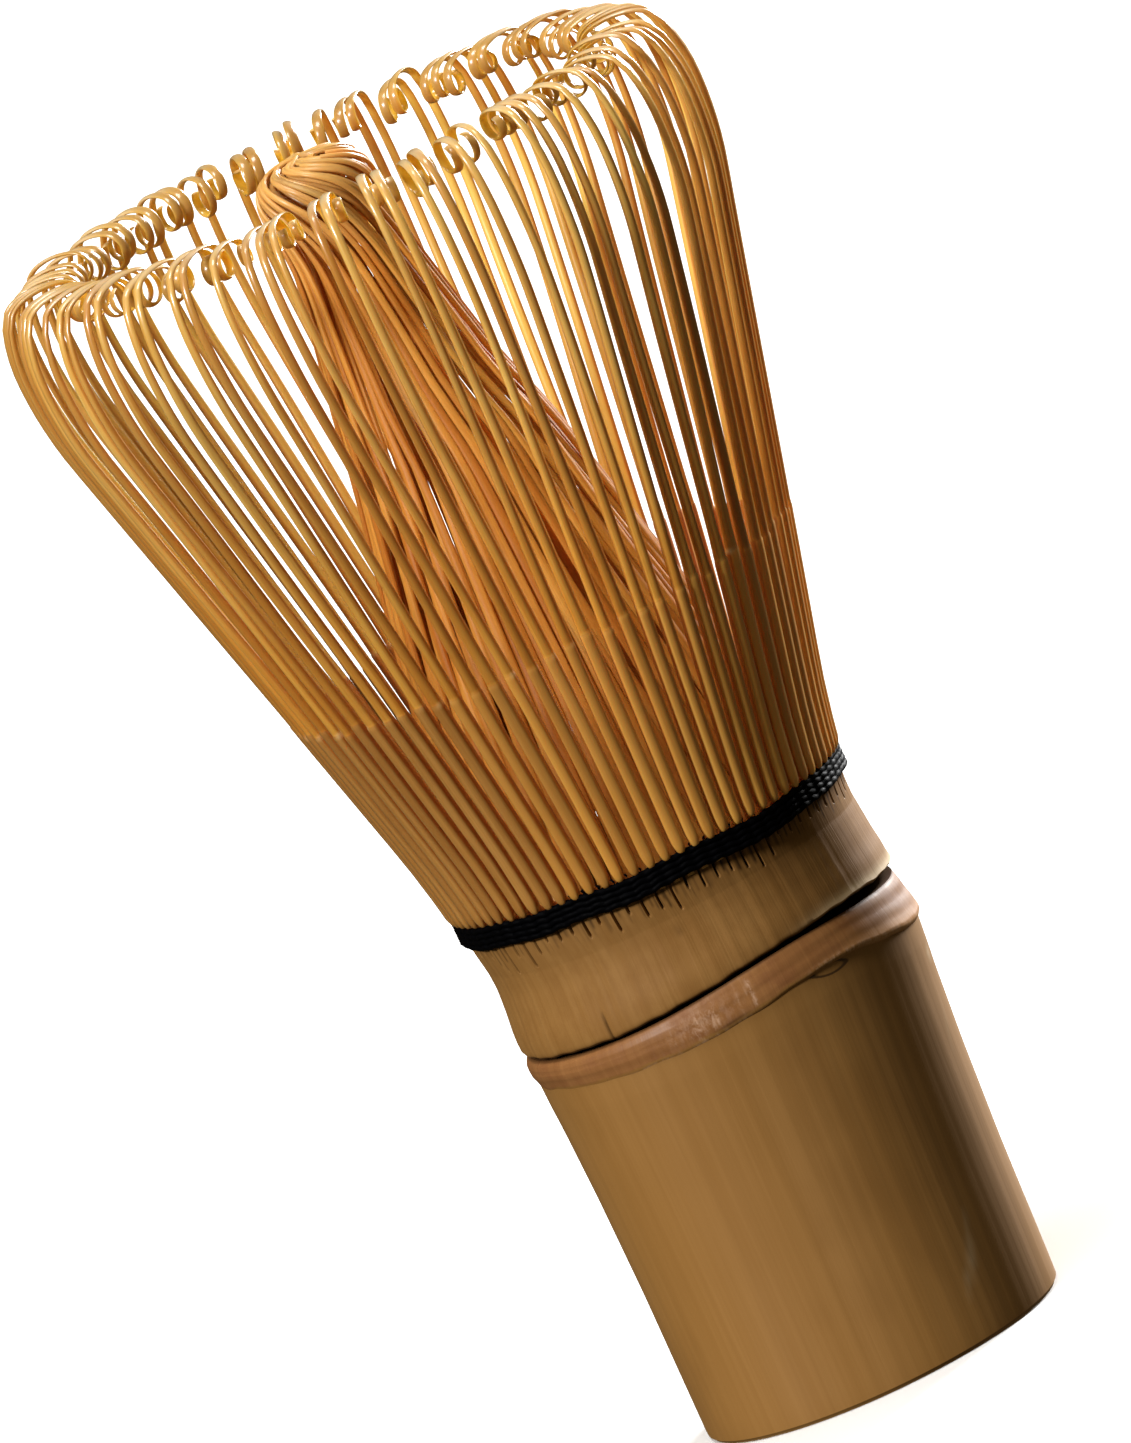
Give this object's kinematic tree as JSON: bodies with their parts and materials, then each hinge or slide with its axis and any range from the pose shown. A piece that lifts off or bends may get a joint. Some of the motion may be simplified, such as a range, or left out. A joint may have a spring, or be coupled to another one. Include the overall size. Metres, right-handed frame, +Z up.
{
  "type": "bamboo tea whisk",
  "caption": "Bamboo tea whisk: a hollow culm handle with a node, a thread-bound neck, a flared ring of curled outer tines and a gathered inner bundle.",
  "frame": {"origin": "centre of the handle's rest face, on the head's axis", "axes": "+Z up the head's axis from the handle to the tines; +X to the right and -Y towards a viewer at the front"},
  "size_m": [0.0628, 0.0628, 0.1117],
  "materials": {
    "culm_skin": "satin",
    "node_ridge": "satin",
    "culm_inside": "matte",
    "neck_skin": "satin",
    "shaved_bamboo": "satin",
    "dark_bamboo": "satin",
    "black_thread": "satin"
  },
  "bodies": {
    "handle": {"handle_tube": "culm_skin", "node_ridge": "node_ridge", "node_septum": "culm_inside", "neck": "neck_skin", "thread_wraps": "black_thread", "thread_weave": "black_thread"},
    "inner_bundle": {"inner_tines_01": "dark_bamboo", "inner_tines_02": "dark_bamboo", "inner_tines_03": "dark_bamboo", "inner_tines_04": "dark_bamboo", "inner_tines_05": "dark_bamboo", "inner_tines_06": "dark_bamboo", "inner_tines_07": "dark_bamboo", "inner_tines_08": "dark_bamboo", "inner_tines_09": "dark_bamboo", "inner_tines_10": "dark_bamboo", "inner_tines_11": "dark_bamboo", "inner_tines_12": "dark_bamboo", "inner_tines_13": "dark_bamboo", "inner_tines_14": "dark_bamboo", "inner_tines_15": "dark_bamboo", "inner_tines_16": "dark_bamboo"},
    "splint_01": {"outer_tines_01": "shaved_bamboo"},
    "splint_02": {"outer_tines_02": "shaved_bamboo"},
    "splint_03": {"outer_tines_03": "shaved_bamboo"},
    "splint_04": {"outer_tines_04": "shaved_bamboo"},
    "splint_05": {"outer_tines_05": "shaved_bamboo"},
    "splint_06": {"outer_tines_06": "shaved_bamboo"},
    "splint_07": {"outer_tines_07": "shaved_bamboo"},
    "splint_08": {"outer_tines_08": "shaved_bamboo"},
    "splint_09": {"outer_tines_09": "shaved_bamboo"},
    "splint_10": {"outer_tines_10": "shaved_bamboo"},
    "splint_11": {"outer_tines_11": "shaved_bamboo"},
    "splint_12": {"outer_tines_12": "shaved_bamboo"},
    "splint_13": {"outer_tines_13": "shaved_bamboo"},
    "splint_14": {"outer_tines_14": "shaved_bamboo"},
    "splint_15": {"outer_tines_15": "shaved_bamboo"},
    "splint_16": {"outer_tines_16": "shaved_bamboo"}
  },
  "joints": [
    {"name": "inner_sway", "type": "hinge", "parent": "handle", "child": "inner_bundle", "pos_m": [0, 0, 0.0469], "axis": [0, 1, 0], "range_deg": [-3, 3], "stiffness_Nm_per_rad": 0.2},
    {"name": "splint_01_flex", "type": "hinge", "parent": "handle", "child": "splint_01", "pos_m": [0.01618, 0.00322, 0.0469], "axis": [-0.1951, 0.9808, 0], "range_deg": [-2.5, 4], "stiffness_Nm_per_rad": 0.1},
    {"name": "splint_02_flex", "type": "hinge", "parent": "handle", "child": "splint_02", "pos_m": [0.01372, 0.00917, 0.0469], "axis": [-0.5556, 0.8315, 0], "range_deg": [-2.5, 4], "stiffness_Nm_per_rad": 0.1},
    {"name": "splint_03_flex", "type": "hinge", "parent": "handle", "child": "splint_03", "pos_m": [0.00917, 0.01372, 0.0469], "axis": [-0.8315, 0.5556, 0], "range_deg": [-2.5, 4], "stiffness_Nm_per_rad": 0.1},
    {"name": "splint_04_flex", "type": "hinge", "parent": "handle", "child": "splint_04", "pos_m": [0.00322, 0.01618, 0.0469], "axis": [-0.9808, 0.1951, 0], "range_deg": [-2.5, 4], "stiffness_Nm_per_rad": 0.1},
    {"name": "splint_05_flex", "type": "hinge", "parent": "handle", "child": "splint_05", "pos_m": [-0.00322, 0.01618, 0.0469], "axis": [-0.9808, -0.1951, 0], "range_deg": [-2.5, 4], "stiffness_Nm_per_rad": 0.1},
    {"name": "splint_06_flex", "type": "hinge", "parent": "handle", "child": "splint_06", "pos_m": [-0.00917, 0.01372, 0.0469], "axis": [-0.8315, -0.5556, 0], "range_deg": [-2.5, 4], "stiffness_Nm_per_rad": 0.1},
    {"name": "splint_07_flex", "type": "hinge", "parent": "handle", "child": "splint_07", "pos_m": [-0.01372, 0.00917, 0.0469], "axis": [-0.5556, -0.8315, 0], "range_deg": [-2.5, 4], "stiffness_Nm_per_rad": 0.1},
    {"name": "splint_08_flex", "type": "hinge", "parent": "handle", "child": "splint_08", "pos_m": [-0.01618, 0.00322, 0.0469], "axis": [-0.1951, -0.9808, 0], "range_deg": [-2.5, 4], "stiffness_Nm_per_rad": 0.1},
    {"name": "splint_09_flex", "type": "hinge", "parent": "handle", "child": "splint_09", "pos_m": [-0.01618, -0.00322, 0.0469], "axis": [0.1951, -0.9808, 0], "range_deg": [-2.5, 4], "stiffness_Nm_per_rad": 0.1},
    {"name": "splint_10_flex", "type": "hinge", "parent": "handle", "child": "splint_10", "pos_m": [-0.01372, -0.00917, 0.0469], "axis": [0.5556, -0.8315, 0], "range_deg": [-2.5, 4], "stiffness_Nm_per_rad": 0.1},
    {"name": "splint_11_flex", "type": "hinge", "parent": "handle", "child": "splint_11", "pos_m": [-0.00917, -0.01372, 0.0469], "axis": [0.8315, -0.5556, 0], "range_deg": [-2.5, 4], "stiffness_Nm_per_rad": 0.1},
    {"name": "splint_12_flex", "type": "hinge", "parent": "handle", "child": "splint_12", "pos_m": [-0.00322, -0.01618, 0.0469], "axis": [0.9808, -0.1951, 0], "range_deg": [-2.5, 4], "stiffness_Nm_per_rad": 0.1},
    {"name": "splint_13_flex", "type": "hinge", "parent": "handle", "child": "splint_13", "pos_m": [0.00322, -0.01618, 0.0469], "axis": [0.9808, 0.1951, 0], "range_deg": [-2.5, 4], "stiffness_Nm_per_rad": 0.1},
    {"name": "splint_14_flex", "type": "hinge", "parent": "handle", "child": "splint_14", "pos_m": [0.00917, -0.01372, 0.0469], "axis": [0.8315, 0.5556, 0], "range_deg": [-2.5, 4], "stiffness_Nm_per_rad": 0.1},
    {"name": "splint_15_flex", "type": "hinge", "parent": "handle", "child": "splint_15", "pos_m": [0.01372, -0.00917, 0.0469], "axis": [0.5556, 0.8315, 0], "range_deg": [-2.5, 4], "stiffness_Nm_per_rad": 0.1},
    {"name": "splint_16_flex", "type": "hinge", "parent": "handle", "child": "splint_16", "pos_m": [0.01618, -0.00322, 0.0469], "axis": [0.1951, 0.9808, 0], "range_deg": [-2.5, 4], "stiffness_Nm_per_rad": 0.1}
  ]
}
